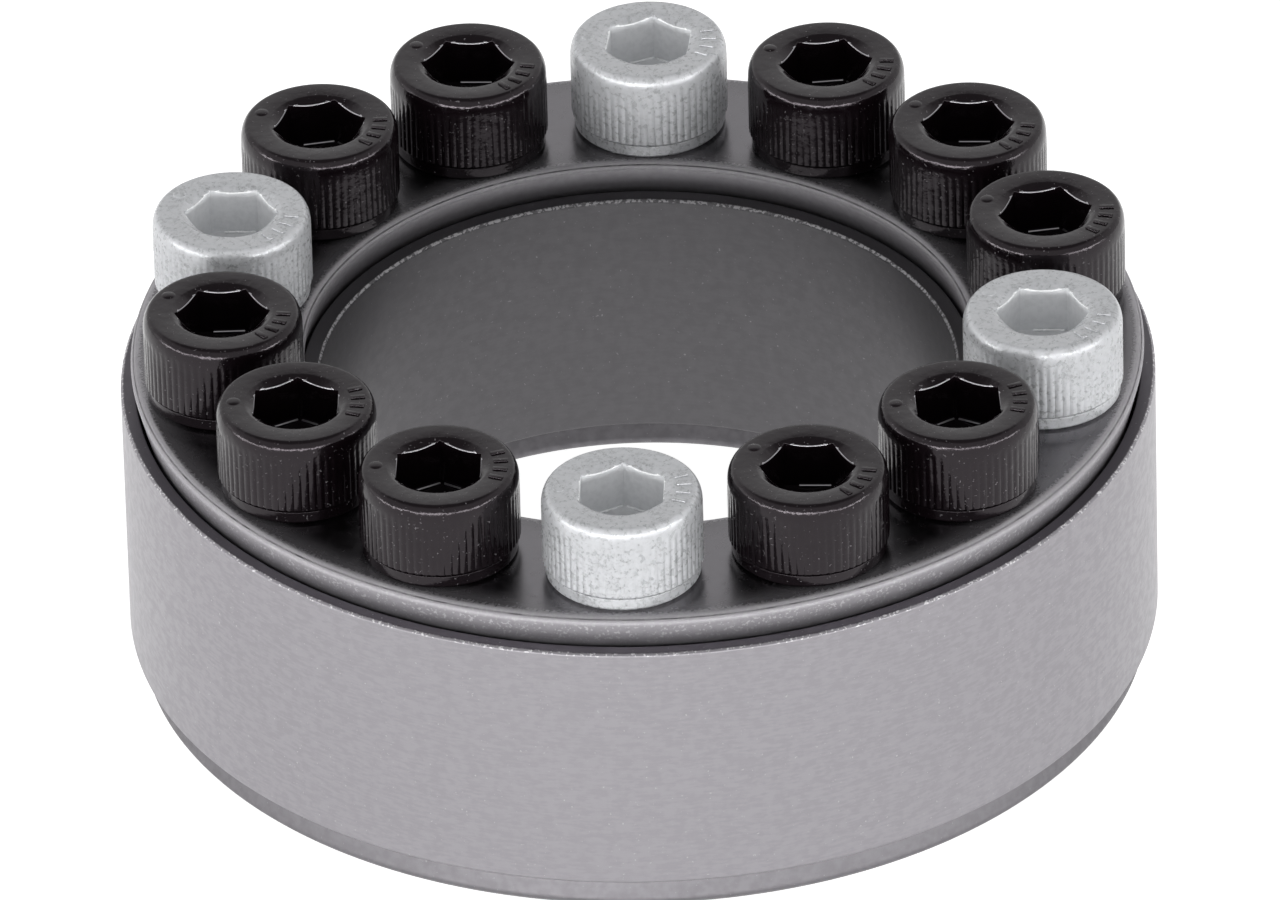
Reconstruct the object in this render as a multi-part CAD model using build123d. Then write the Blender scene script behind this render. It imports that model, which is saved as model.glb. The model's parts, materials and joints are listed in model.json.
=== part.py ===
"""Keyless locking assembly: a double-taper set that clamps a hub to a plain shaft.

Two slit rings, one round the shaft and one in the hub's bore, are wedged apart by two
thrust rings that a circle of socket head screws draws together. The screws turn in
clearance holes of the front thrust ring and thread into the rear one. Under the
plated screws the front ring has larger threads, by which it is jacked off again.

Frame: millimetres, with Z on the shaft's axis and pointing to the screw heads. The
origin is the centre of the rear thrust ring's outer face, on which the set stands.
It is modelled loosely assembled, with its screws seated and not yet tightened.
"""

import os
from math import cos, radians, tan

from build123d import *

# Slit rings
SHAFT_DIAMETER = 40.0  # bore of the inner ring
SECTION_HEIGHT = 12.5  # radial depth of the whole set, from shaft to hub
RING_LENGTH = 17.0  # along the shaft, the same for both slit rings
CREST_LAND = 3.0  # flat stretch between a ring's two tapers
TAPER_ANGLE = 14.0  # degrees, of each taper to the shaft's axis
RING_CHAMFER = 0.15  # on the seats' end edges
CHAMFER_SHARE = 0.6  # the most of a ring's end wall that its chamfer may take
SLIT_WIDTH = 1.5
INNER_CREST_CLEARANCE = 0.4  # between the inner ring's crest and the screws
OUTER_CREST_CLEARANCE = 0.6  # between the outer ring's crest and the screws
OUTER_SLIT_POSITION = 12.5  # in steps of the screw circle, so halfway between two screws
INNER_SLIT_POSITION = 7.5

# Thrust rings
THRUST_THICKNESS = 7.6
THRUST_PROUD = 2.2  # how far each thrust ring stands out of the slit rings when loose
THRUST_CHAMFER = 0.4
DRAW_TRAVEL = 1.4  # how far the screws draw the thrust rings together
TIGHT_TAPER_GAP = 0.03  # radial gap between the tapers once they are drawn together

# Screws
SCREW_COUNT = 14
PLATED_POSITIONS = (0, 4, 7, 11)  # steps of the screw circle, over the jacking threads
THREAD_DIAMETER = 6.0
SCREW_LENGTH = 18.0  # under the head
TIP_CHAMFER = 0.8
HEAD_DIAMETER = 10.0
HEAD_HEIGHT = 6.0
HEAD_ROUNDING = 0.35  # on the top edge
FOOT_DIAMETER = 9.6  # of the plain band under the gripping part of the head
FOOT_HEIGHT = 1.0
FOOT_CHAMFER = 0.2
NECK_FILLET = 0.2  # where the shank meets the head
HEX_FLATS = 5.0
HEX_DEPTH = 3.2
HEX_MOUTH_MARGIN = 0.1  # how far the conical mouth reaches past the socket's corners
HEX_FLOOR_ANGLE = 60.0  # degrees, half angle of the socket's drilled floor
# Degrees to which each screw's socket has come round, clockwise from a corner at the back
SOCKET_TURNS = (5, 22, 30, 18, 30, -5, 30, 0, 0, 0, 27, 30, 17, 30)

# Screw holes
HOLE_CLEARANCE = 0.3  # radial, round a screw in the front thrust ring
THREAD_CLEARANCE = 0.05  # radial, round a screw in the rear ring's tapped hole
JACKING_THREAD_STEP = 2.0  # how much larger the jacking thread is than the screws
JACKING_PITCH = 1.25
THREAD_DEPTH_RATIO = 1.0825  # of an ISO metric internal thread, over both sides
TAPPED_MOUTH_CHAMFER = 0.5

# Worked out from the above
BORE_RADIUS = SHAFT_DIAMETER / 2
SEAT_RADIUS = BORE_RADIUS + SECTION_HEIGHT
PITCH_RADIUS = (BORE_RADIUS + SEAT_RADIUS) / 2
THREAD_RADIUS = THREAD_DIAMETER / 2
TAPER = tan(radians(TAPER_ANGLE))
TAPER_RISE = (RING_LENGTH - CREST_LAND) / 2 * TAPER
INNER_CREST_RADIUS = PITCH_RADIUS - THREAD_RADIUS - INNER_CREST_CLEARANCE
OUTER_CREST_RADIUS = PITCH_RADIUS + THREAD_RADIUS + OUTER_CREST_CLEARANCE
INNER_END_RADIUS = INNER_CREST_RADIUS - TAPER_RISE
OUTER_END_RADIUS = OUTER_CREST_RADIUS + TAPER_RISE
OUTER_CHAMFER = min(RING_CHAMFER, CHAMFER_SHARE * (SEAT_RADIUS - OUTER_END_RADIUS))
INNER_CHAMFER = min(RING_CHAMFER, CHAMFER_SHARE * (INNER_END_RADIUS - BORE_RADIUS))
LOOSE_TAPER_GAP = TIGHT_TAPER_GAP + DRAW_TRAVEL / 2 * TAPER
FACE_HEIGHT = RING_LENGTH + 2 * THRUST_PROUD  # over the two thrust rings' faces
CLEARANCE_HOLE_RADIUS = THREAD_RADIUS + HOLE_CLEARANCE
TAPPED_HOLE_RADIUS = THREAD_RADIUS + THREAD_CLEARANCE
JACKING_DIAMETER = THREAD_DIAMETER + JACKING_THREAD_STEP
JACKING_HOLE_RADIUS = (JACKING_DIAMETER - THREAD_DEPTH_RATIO * JACKING_PITCH) / 2
STEP_ANGLE = 360 / SCREW_COUNT


def at_step(step: float, height: float = 0.0) -> Location:
    """The place on the screw circle, counted clockwise from the back, seen from the heads."""
    turned = Location((0, 0, 0), (0, 0, -step * STEP_ANGLE))
    return turned * Location((0, PITCH_RADIUS, height))


def turned_ring(outline: list[tuple[float, float]]) -> Part:
    """A ring turned from an outline of (radius, height) corners."""
    with BuildPart() as ring:
        with BuildSketch(Plane.XZ):
            with BuildLine():
                Polyline(*outline, close=True)
            make_face()
        revolve(axis=Axis.Z)
    return ring.part


def slit(ring: Part, position: float, inner_radius: float, outer_radius: float) -> Part:
    """Cuts a ring through along the axis, at a position on the screw circle."""
    with BuildPart() as cutter:
        with Locations((0, (inner_radius + outer_radius) / 2, RING_LENGTH / 2)):
            Box(SLIT_WIDTH, 2 * (outer_radius - inner_radius), 2 * RING_LENGTH)
    turn = Location((0, 0, 0), (0, 0, -position * STEP_ANGLE))
    return ring - turn * cutter.part


def outer_ring() -> Part:
    """The slit ring that spreads into the hub, with its double taper inside."""
    land_foot = (RING_LENGTH - CREST_LAND) / 2
    land_head = (RING_LENGTH + CREST_LAND) / 2
    ring = turned_ring([
        (OUTER_END_RADIUS, 0),
        (SEAT_RADIUS - OUTER_CHAMFER, 0),
        (SEAT_RADIUS, OUTER_CHAMFER),
        (SEAT_RADIUS, RING_LENGTH - OUTER_CHAMFER),
        (SEAT_RADIUS - OUTER_CHAMFER, RING_LENGTH),
        (OUTER_END_RADIUS, RING_LENGTH),
        (OUTER_CREST_RADIUS, land_head),
        (OUTER_CREST_RADIUS, land_foot),
    ])
    ring = slit(ring, OUTER_SLIT_POSITION, OUTER_CREST_RADIUS, SEAT_RADIUS)
    return Pos(0, 0, THRUST_PROUD) * ring


def inner_ring() -> Part:
    """The slit ring that closes on the shaft, with its double taper outside."""
    land_foot = (RING_LENGTH - CREST_LAND) / 2
    land_head = (RING_LENGTH + CREST_LAND) / 2
    ring = turned_ring([
        (BORE_RADIUS + INNER_CHAMFER, 0),
        (INNER_END_RADIUS, 0),
        (INNER_CREST_RADIUS, land_foot),
        (INNER_CREST_RADIUS, land_head),
        (INNER_END_RADIUS, RING_LENGTH),
        (BORE_RADIUS + INNER_CHAMFER, RING_LENGTH),
        (BORE_RADIUS, RING_LENGTH - INNER_CHAMFER),
        (BORE_RADIUS, INNER_CHAMFER),
    ])
    ring = slit(ring, INNER_SLIT_POSITION, BORE_RADIUS, INNER_CREST_RADIUS)
    return Pos(0, 0, THRUST_PROUD) * ring


def thrust_blank() -> Part:
    """A thrust ring before it is drilled: its outer face is at height 0, its nose above."""

    def inner_flank(height: float) -> float:
        return INNER_END_RADIUS + LOOSE_TAPER_GAP + (height - THRUST_PROUD) * TAPER

    def outer_flank(height: float) -> float:
        return OUTER_END_RADIUS - LOOSE_TAPER_GAP - (height - THRUST_PROUD) * TAPER

    return turned_ring([
        (inner_flank(THRUST_CHAMFER) + THRUST_CHAMFER, 0),
        (outer_flank(THRUST_CHAMFER) - THRUST_CHAMFER, 0),
        (outer_flank(THRUST_CHAMFER), THRUST_CHAMFER),
        (outer_flank(THRUST_THICKNESS), THRUST_THICKNESS),
        (inner_flank(THRUST_THICKNESS), THRUST_THICKNESS),
        (inner_flank(THRUST_CHAMFER), THRUST_CHAMFER),
    ])


def drill(radius: float, mouth_chamfer: float) -> Part:
    """What a drill and a countersink take out of a thrust ring, from its outer face."""
    with BuildPart() as tool:
        Cylinder(radius, 3 * THRUST_THICKNESS)
        if mouth_chamfer > 0:
            Cone(radius + 2 * mouth_chamfer, radius, 2 * mouth_chamfer,
                 align=(Align.CENTER, Align.CENTER, Align.CENTER))
    return tool.part


def rear_thrust_ring() -> Part:
    """The ring that the screws thread into, tapped right through."""
    tool = drill(TAPPED_HOLE_RADIUS, TAPPED_MOUTH_CHAMFER)
    return thrust_blank() - [at_step(step) * tool for step in range(SCREW_COUNT)]


def front_thrust_ring() -> Part:
    """The ring under the heads: clearance holes, and jacking threads at a few positions."""
    clearance = drill(CLEARANCE_HOLE_RADIUS, 0)
    jacking = drill(JACKING_HOLE_RADIUS, TAPPED_MOUTH_CHAMFER)
    tools = [
        at_step(step) * (jacking if step in PLATED_POSITIONS else clearance)
        for step in range(SCREW_COUNT)
    ]
    middle = Plane.XY.offset(FACE_HEIGHT / 2)
    return mirror(thrust_blank() - tools, about=middle)


def socket() -> Part:
    """What the hex socket takes out of a head whose top is at height 0."""
    flat_radius = HEX_FLATS / 2
    mouth_radius = flat_radius / cos(radians(30)) + HEX_MOUTH_MARGIN
    mouth_depth = mouth_radius / 2
    floor_depth = flat_radius / tan(radians(HEX_FLOOR_ANGLE))
    from_top = (Align.CENTER, Align.CENTER, Align.MAX)
    with BuildPart() as tool:
        with BuildSketch():
            RegularPolygon(flat_radius, 6, major_radius=False, rotation=30)
        extrude(amount=-HEX_DEPTH)
        Cone(mouth_radius - mouth_depth, mouth_radius, mouth_depth, align=from_top)
        with Locations((0, 0, -HEX_DEPTH)):
            Cone(0, flat_radius, floor_depth, align=from_top)
    return tool.part


def screw() -> Part:
    """A socket head screw, its head standing on height 0 and a socket corner at the back."""
    on_floor = (Align.CENTER, Align.CENTER, Align.MIN)
    from_top = (Align.CENTER, Align.CENTER, Align.MAX)
    with BuildPart() as body:
        Cylinder(FOOT_DIAMETER / 2, FOOT_HEIGHT, align=on_floor)
        chamfer(body.edges().sort_by(Axis.Z)[0], FOOT_CHAMFER)
        with Locations((0, 0, FOOT_HEIGHT)):
            Cylinder(HEAD_DIAMETER / 2, HEAD_HEIGHT - FOOT_HEIGHT, align=on_floor)
        fillet(body.edges().sort_by(Axis.Z)[-1], HEAD_ROUNDING)
        Cylinder(THREAD_RADIUS, SCREW_LENGTH, align=from_top)
        neck = body.edges().filter_by(lambda edge: edge.geom_type == GeomType.CIRCLE
                                      and abs(edge.radius - THREAD_RADIUS) < NECK_FILLET
                                      and abs(edge.center().Z) < NECK_FILLET)
        fillet(neck, NECK_FILLET)
        chamfer(body.edges().sort_by(Axis.Z)[0], TIP_CHAMFER)
    return body.part - Pos(0, 0, HEAD_HEIGHT) * socket()


def main() -> None:
    """Builds every piece in its place and writes one file for each."""
    pieces = {
        "rear_thrust_ring": rear_thrust_ring(),
        "front_thrust_ring": front_thrust_ring(),
        "outer_ring": outer_ring(),
        "inner_ring": inner_ring(),
    }
    seated = screw()
    made = {"clamp_screw": 0, "plated_screw": 0}
    for step in range(SCREW_COUNT):
        kind = "plated_screw" if step in PLATED_POSITIONS else "clamp_screw"
        made[kind] += 1
        turn = SOCKET_TURNS[step % len(SOCKET_TURNS)] - step * STEP_ANGLE
        place = at_step(step, FACE_HEIGHT) * Location((0, 0, 0), (0, 0, -turn))
        pieces[f"{kind}_{made[kind]:02d}"] = place * seated
    os.makedirs("parts", exist_ok=True)
    for name, piece in pieces.items():
        piece.label = name
        export_step(piece, f"parts/{name}.step")


main()
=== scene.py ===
"""Dresses a keyless locking assembly with its turned, ground, oxidised and plated finishes.

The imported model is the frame: radii and heights that pieces share are read from its
boxes and mounts, and every piece rides on the body whose node it stands for. Lengths
are metres. Screws are counted clockwise from the back, seen from their heads.
"""

import json
import logging
import math
from collections.abc import Callable, Iterator
from contextlib import contextmanager
from dataclasses import dataclass, replace
from enum import Enum
from functools import cached_property

import bmesh
import bpy
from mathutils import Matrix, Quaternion, Vector

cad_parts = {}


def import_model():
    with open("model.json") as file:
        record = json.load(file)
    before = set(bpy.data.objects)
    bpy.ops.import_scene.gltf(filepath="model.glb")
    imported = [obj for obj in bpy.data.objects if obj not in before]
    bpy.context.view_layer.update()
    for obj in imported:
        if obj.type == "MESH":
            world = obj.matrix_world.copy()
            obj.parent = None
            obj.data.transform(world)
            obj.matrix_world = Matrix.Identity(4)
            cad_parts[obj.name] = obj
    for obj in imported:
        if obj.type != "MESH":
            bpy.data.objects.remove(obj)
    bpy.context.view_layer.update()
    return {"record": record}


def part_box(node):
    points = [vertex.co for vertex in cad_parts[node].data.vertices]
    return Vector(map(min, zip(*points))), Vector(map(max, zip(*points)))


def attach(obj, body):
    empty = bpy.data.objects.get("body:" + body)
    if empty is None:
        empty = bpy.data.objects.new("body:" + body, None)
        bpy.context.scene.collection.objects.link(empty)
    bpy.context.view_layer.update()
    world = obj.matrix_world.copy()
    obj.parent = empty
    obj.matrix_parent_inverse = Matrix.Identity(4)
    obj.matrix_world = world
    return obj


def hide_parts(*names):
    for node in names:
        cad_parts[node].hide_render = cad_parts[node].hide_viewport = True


LOG = logging.getLogger("locking_assembly")
MM = 0.001
MERGE_DISTANCE = 0.001 * MM
TOUCH = 0.01 * MM  # what lies closer than this lies on a face
SMOOTH_ANGLE = math.radians(32)
EASE_STEPS = 3
HOLDING_SHARE = 1.8  # where the rows that hold a rounded corner lie, in shares of its ease
RING_COLUMNS = 288
HOLE_COLUMNS = 48
SOCKET_COLUMNS = 96
SCREW_COUNT = 14
PLATED_STEPS = (0, 4, 7, 11)  # the plated screws' places, over the jacking threads
SOCKET_FACES = 1  # the material number of the faces inside a socket
# On the plated screws the worn edges and chips are a near-white painted highlight.
CHIP_AND_HIGHLIGHT_FACES = 2  # and that of its worn edges and chips
CLOUD_SPAN = (0.3, 0.7)  # between these a surface goes from one end of its range to the other

Colour = tuple[float, float, float, float]


class Plating(Enum):
    """The two platings of the screws, by the start of their nodes' names."""

    OXIDE = "clamp_screw"
    ZINC = "plated_screw"


class Side(Enum):
    """The two thrust rings, by the way their outer faces look along Z."""

    FRONT = 1
    REAR = -1


@dataclass(frozen=True)
class Corner:
    """A corner of a turned outline.

    Attributes:
        radius: Distance from the axis.
        height: Height along the axis.
        ease: How far from the corner its rounding begins, or 0 for a sharp one.
    """

    radius: float
    height: float
    ease: float = 0.0


@dataclass(frozen=True)
class Section:
    """The radii and heights that the pieces share.

    Attributes:
        bore: Radius of the inner ring's bore.
        seat: Radius of the outer ring's seat.
        inner_crest: Largest radius of the inner ring.
        pitch: Radius of the screw circle.
        ring_foot: Height of the slit rings' lower ends.
        ring_head: Height of the slit rings' upper ends.
        rear_face: Height of the rear thrust ring's outer face.
        front_face: Height of the front thrust ring's outer face, on which the heads sit.
        thrust_thickness: Thickness of a thrust ring.
        head_height: Height of a screw's head.
        screw_length: Length of a screw under its head.
        thread: Radius of the screws' thread.
        crest_clearance: Radial room between the screws and the outer ring.
        crest_land: Length of the flat stretch between a slit ring's two tapers.
        slope: Rise of a taper for each length along the axis.
        loose_gap: Radial gap between the tapers before the screws are tightened.
    """

    bore: float
    seat: float
    inner_crest: float
    pitch: float
    ring_foot: float
    ring_head: float
    rear_face: float
    front_face: float
    thrust_thickness: float
    head_height: float
    screw_length: float
    thread: float = 3.0 * MM
    crest_clearance: float = 0.6 * MM
    crest_land: float = 3.0 * MM
    slope: float = math.tan(math.radians(14))
    loose_gap: float = 0.2045 * MM

    @classmethod
    def from_frame(cls, record: dict) -> "Section":
        """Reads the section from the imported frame.

        Args:
            record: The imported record, with its mounts.

        Returns:
            The section.
        """
        mounts = {mount["name"]: mount for mount in record["mounts"]}
        outer_low, outer_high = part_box("outer_ring")
        rear_low, rear_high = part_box("rear_thrust_ring")
        front_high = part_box("front_thrust_ring")[1]
        screw_low, screw_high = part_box("plated_screw_01")
        return cls(
            bore=mounts["shaft_bore"]["dims"]["r_mm"] * MM,
            seat=outer_high.x,
            inner_crest=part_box("inner_ring")[1].x,
            pitch=(screw_low.y + screw_high.y) / 2,
            ring_foot=outer_low.z,
            ring_head=outer_high.z,
            rear_face=rear_low.z,
            front_face=front_high.z,
            thrust_thickness=rear_high.z - rear_low.z,
            head_height=screw_high.z - front_high.z,
            screw_length=front_high.z - screw_low.z,
        )

    @property
    def middle(self) -> float:
        """Height of the plane about which the four rings are symmetric."""
        return (self.rear_face + self.front_face) / 2

    @property
    def ring_length(self) -> float:
        """Length of the slit rings along the axis."""
        return self.ring_head - self.ring_foot

    @property
    def outer_crest(self) -> float:
        """Smallest radius of the outer ring."""
        return self.pitch + self.thread + self.crest_clearance

    @property
    def rise(self) -> float:
        """Height of a slit ring's crest over its thin ends."""
        return (self.ring_length - self.crest_land) / 2 * self.slope

    @property
    def inner_end(self) -> float:
        """Outer radius of the inner ring's thin ends."""
        return self.inner_crest - self.rise

    @property
    def outer_end(self) -> float:
        """Inner radius of the outer ring's thin ends."""
        return self.outer_crest + self.rise

    def flank(self, depth: float) -> tuple[float, float]:
        """Finds a thrust ring's inner and outer radius, at a depth below its outer face."""
        rise = (depth - (self.ring_foot - self.rear_face)) * self.slope
        return self.inner_end + self.loose_gap + rise, self.outer_end - self.loose_gap - rise

    def face(self, side: Side) -> float:
        """Height of a thrust ring's outer face."""
        return self.front_face if side is Side.FRONT else self.rear_face

    def place(self, step: float) -> Vector:
        """Finds a place on the screw circle, at height 0, by its steps from the back."""
        angle = step * math.tau / SCREW_COUNT
        return Vector((math.sin(angle), math.cos(angle), 0)) * self.pitch


def clear_selection() -> None:
    """Deselects every object, so that an operator acts only on what is picked next."""
    bpy.ops.object.select_all(action="DESELECT")


def pick(piece: bpy.types.Object, *others: bpy.types.Object) -> None:
    """Selects objects and makes the first of them active.

    Args:
        piece: The object to make active.
        others: Further objects to select.
    """
    clear_selection()
    for other in (piece, *others):
        other.select_set(True)
    bpy.context.view_layer.objects.active = piece


@contextmanager
def editing(piece: bpy.types.Object) -> Iterator[None]:
    """Opens a piece's mesh for editing, and closes it again.

    Args:
        piece: The object to edit.

    Yields:
        Nothing: the mesh is in edit mode inside the block.
    """
    pick(piece)
    bpy.ops.object.mode_set(mode="EDIT")
    try:
        yield
    finally:
        bpy.ops.object.mode_set(mode="OBJECT")


def select_where(piece: bpy.types.Object, rule: Callable[[Vector], bool]) -> None:
    """Selects the vertices of an edited mesh whose places meet a rule, and what they span.

    Args:
        piece: The object in edit mode.
        rule: Says whether a vertex at this place is selected.
    """
    bpy.ops.mesh.select_all(action="DESELECT")
    mesh = bmesh.from_edit_mesh(piece.data)
    for vertex in mesh.verts:
        vertex.select = rule(vertex.co)
    mesh.select_flush_mode()
    bmesh.update_edit_mesh(piece.data)


def eased(corners: list[Corner], closed: bool) -> list[Vector]:
    """Rounds an outline's corners and adds a row on each side that holds the flats flat.

    Args:
        corners: The corners in order.
        closed: Whether the last corner runs on to the first.

    Returns:
        The outline's points as (radius, height), ending on the first one if closed.
    """
    points = [Vector((corner.radius, corner.height)) for corner in corners]
    outline = []
    for index, (corner, here) in enumerate(zip(corners, points)):
        if corner.ease == 0:
            outline.append(here)
            continue
        back = (points[index - 1] - here).normalized() * corner.ease
        onward = (points[(index + 1) % len(points)] - here).normalized() * corner.ease
        outline.append(here + back * HOLDING_SHARE)
        for step in range(EASE_STEPS + 1):
            share = step / EASE_STEPS
            outline.append(here + back * (1 - share) ** 2 + onward * share**2)
        outline.append(here + onward * HOLDING_SHARE)
    if closed:
        outline.append(outline[0])
    return outline


def drawn(name: str, outline: list[Vector]) -> bpy.types.Object:
    """Draws a line in the XZ plane by extruding a vertex from point to point.

    Args:
        name: The new object's name.
        outline: The points as (radius, height).

    Returns:
        The new object, a line of edges.
    """
    clear_selection()
    bpy.ops.mesh.primitive_plane_add(size=MM, location=(0, 0, 0))
    piece = bpy.context.active_object
    piece.name = name
    with editing(piece):
        bpy.ops.mesh.select_all(action="SELECT")
        bpy.ops.mesh.merge(type="CENTER")
        bpy.ops.transform.translate(value=(outline[0].x, 0, outline[0].y))
        for before, after in zip(outline, outline[1:]):
            move = (after.x - before.x, 0, after.y - before.y)
            bpy.ops.mesh.extrude_vertices_move(TRANSFORM_OT_translate={"value": move})
    return piece


def turned(name: str, corners: list[Corner], columns: int, closed: bool) -> bpy.types.Object:
    """Turns a solid from its half outline, as on a lathe.

    Args:
        name: The new object's name.
        corners: The half outline, either closed or from the axis back to the axis.
        columns: How many faces go round.
        closed: Whether the outline is closed, as a ring's is.

    Returns:
        The new object, a closed shell round the Z axis.
    """
    piece = drawn(name, eased(corners, closed))
    with editing(piece):
        bpy.ops.mesh.select_all(action="SELECT")
        bpy.ops.mesh.spin(steps=columns, angle=math.tau, center=(0, 0, 0), axis=(0, 0, 1))
        bpy.ops.mesh.select_all(action="SELECT")
        bpy.ops.mesh.remove_doubles(threshold=MERGE_DISTANCE)
        bpy.ops.mesh.normals_make_consistent(inside=False)
    return piece


def cut(piece: bpy.types.Object, *tools: bpy.types.Object) -> None:
    """Cuts closed shells out of a piece, one after the other, and removes them.

    Args:
        piece: The object to cut.
        tools: The shells.
    """
    for tool in tools:
        boolean = piece.modifiers.new("cut", "BOOLEAN")
        boolean.operation = "DIFFERENCE"
        boolean.solver = "EXACT"
        boolean.object = tool
        pick(piece)
        bpy.ops.object.modifier_apply(modifier=boolean.name)
        bpy.data.objects.remove(tool)


def settled() -> bpy.types.Object:
    """Puts the active object's place, turn and size in its mesh, and returns the object."""
    bpy.ops.object.transform_apply(location=True, rotation=True, scale=True)
    return bpy.context.active_object


def copied(
    master: bpy.types.Object, name: str, place: Vector, turn: float = 0.0
) -> bpy.types.Object:
    """Copies a piece with its own mesh, and puts its place and turn in that mesh.

    Args:
        master: The object to copy.
        name: The copy's name.
        place: Where the master's origin goes.
        turn: Angle about Z, in radians.

    Returns:
        The copy, its object at the origin and unturned.
    """
    pick(master)
    bpy.ops.object.duplicate(linked=False)
    piece = bpy.context.active_object
    piece.name = name
    piece.data.name = name
    piece.location = place
    piece.rotation_euler = (0, 0, turn)
    pick(piece)
    return settled()


def joined(pieces: list[bpy.types.Object]) -> bpy.types.Object:
    """Joins pieces into the first of them.

    Args:
        pieces: The objects to join.

    Returns:
        The first object, which holds all the meshes.
    """
    pick(*pieces)
    bpy.ops.object.join()
    return bpy.context.active_object


def smooth(piece: bpy.types.Object) -> None:
    """Shades a finished piece smooth across its shallow edges."""
    pick(piece)
    bpy.ops.object.shade_smooth_by_angle(angle=SMOOTH_ANGLE)


def fitted(piece: bpy.types.Object, node: str, *materials: bpy.types.Material) -> None:
    """Gives a finished piece its materials and puts it in its node's place.

    Args:
        piece: The finished piece.
        node: The node that it stands for, which is also the name of its body.
        materials: Its finishes, in the order of its faces' material numbers.
    """
    for material in materials:
        piece.data.materials.append(material)
    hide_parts(node)
    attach(piece, node)
    LOG.info("%s stands for %s, %d faces", piece.name, node, len(piece.data.polygons))


class Graph:
    """A node tree being wired, with one short call for a node and what feeds it."""

    def __init__(self, tree: bpy.types.NodeTree) -> None:
        """Starts on a tree."""
        self.tree = tree

    def feed(self, node: bpy.types.Node, inputs: dict[str | int, object]) -> None:
        """Feeds a node.

        Args:
            node: The node.
            inputs: For each input, the socket that feeds it or its constant value.
        """
        for key, value in inputs.items():
            if isinstance(value, bpy.types.NodeSocket):
                self.tree.links.new(value, node.inputs[key])
            else:
                node.inputs[key].default_value = value

    def add(
        self, kind: str, inputs: dict[str | int, object] | None = None, **settings: object
    ) -> bpy.types.Node:
        """Adds a node.

        Args:
            kind: The node's type.
            inputs: What feeds it.
            settings: The node's own settings.

        Returns:
            The node.
        """
        node = self.tree.nodes.new(kind)
        for name, setting in settings.items():
            setattr(node, name, setting)
        self.feed(node, inputs or {})
        return node

    def math(self, operation: str, *values: object) -> bpy.types.NodeSocket:
        """Adds a Math node and returns its result."""
        node = self.add("ShaderNodeMath", dict(enumerate(values)), operation=operation)
        return node.outputs[0]

    def between(
        self, value: object, span: tuple[float, float], low: float, high: float
    ) -> bpy.types.NodeSocket:
        """Maps a span of a value smoothly to another span.

        Args:
            value: The socket to map.
            span: Where the span starts and ends.
            low: The result at its start.
            high: The result at its end.

        Returns:
            The mapped value.
        """
        inputs = dict(enumerate((value, *span, low, high)))
        node = self.add("ShaderNodeMapRange", inputs, interpolation_type="SMOOTHSTEP")
        return node.outputs[0]

    def blend(self, share: object, low: object, high: object) -> bpy.types.NodeSocket:
        """Blends two colours, share being how much of the second there is, from 0 to 1."""
        node = self.add("ShaderNodeMix", {0: share, 6: low, 7: high}, data_type="RGBA")
        return node.outputs[2]

    def noise(
        self, vector: object, scale: object, detail: float, roughness: float = 0.5
    ) -> bpy.types.NodeSocket:
        """Adds a Noise Texture.

        Args:
            vector: The place.
            scale: How many of its clouds go to a metre.
            detail: How many finer layers it has.
            roughness: How strong each of these is against the one before.

        Returns:
            The noise, a value about 0.5.
        """
        inputs = {"Vector": vector, "Scale": scale, "Detail": detail, "Roughness": roughness}
        return self.add("ShaderNodeTexNoise", inputs).outputs[0]

    def bump(
        self, height: object, depth: float, under: bpy.types.NodeSocket | None = None
    ) -> bpy.types.NodeSocket:
        """Adds a Bump node.

        Args:
            height: The value that stands up.
            depth: How far it does, where it is 1.
            under: The normal that it changes, if that isn't the bare surface's.

        Returns:
            The normal.
        """
        inputs = {"Strength": 1.0, "Distance": depth, "Height": height}
        if under is not None:
            inputs["Normal"] = under
        return self.add("ShaderNodeBump", inputs).outputs[0]


class Effect(Graph):
    """A shader node group being wired, from a place and plain values to plain values."""

    def __init__(self, name: str, inputs: dict[str, float], outputs: list[str]) -> None:
        """Starts the group.

        Args:
            name: The group's name.
            inputs: Its inputs besides Vector, with their default values.
            outputs: The names of its outputs.
        """
        super().__init__(bpy.data.node_groups.new(name, "ShaderNodeTree"))
        new_socket = self.tree.interface.new_socket
        new_socket("Vector", in_out="INPUT", socket_type="NodeSocketVector")
        for label, default in inputs.items():
            socket = new_socket(label, in_out="INPUT", socket_type="NodeSocketFloat")
            socket.default_value = default
        for label in outputs:
            new_socket(label, in_out="OUTPUT", socket_type="NodeSocketFloat")
        self.given = self.add("NodeGroupInput").outputs

    @cached_property
    def place(self) -> list[bpy.types.NodeSocket]:
        """The X, Y and Z of the place."""
        return list(self.add("ShaderNodeSeparateXYZ", {0: self.given["Vector"]}).outputs)

    @cached_property
    def radius(self) -> bpy.types.NodeSocket:
        """The distance of the place from the Z axis."""
        return self.length(*self.place[:2])

    @cached_property
    def level(self) -> bpy.types.NodeSocket:
        """The height of the place above the plane that the input Middle gives."""
        return self.math("SUBTRACT", self.place[2], self.given["Middle"])

    def length(self, x: object, y: object) -> bpy.types.NodeSocket:
        """Finds the length of a line that goes x one way and y across it."""
        line = self.add("ShaderNodeCombineXYZ", {0: x, 1: y}).outputs[0]
        return self.add("ShaderNodeVectorMath", {0: line}, operation="LENGTH").outputs["Value"]

    def put(self, **results: bpy.types.NodeSocket) -> bpy.types.NodeTree:
        """Links the results to the outputs and returns the finished group."""
        self.add("NodeGroupOutput", results)
        return self.tree


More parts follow.
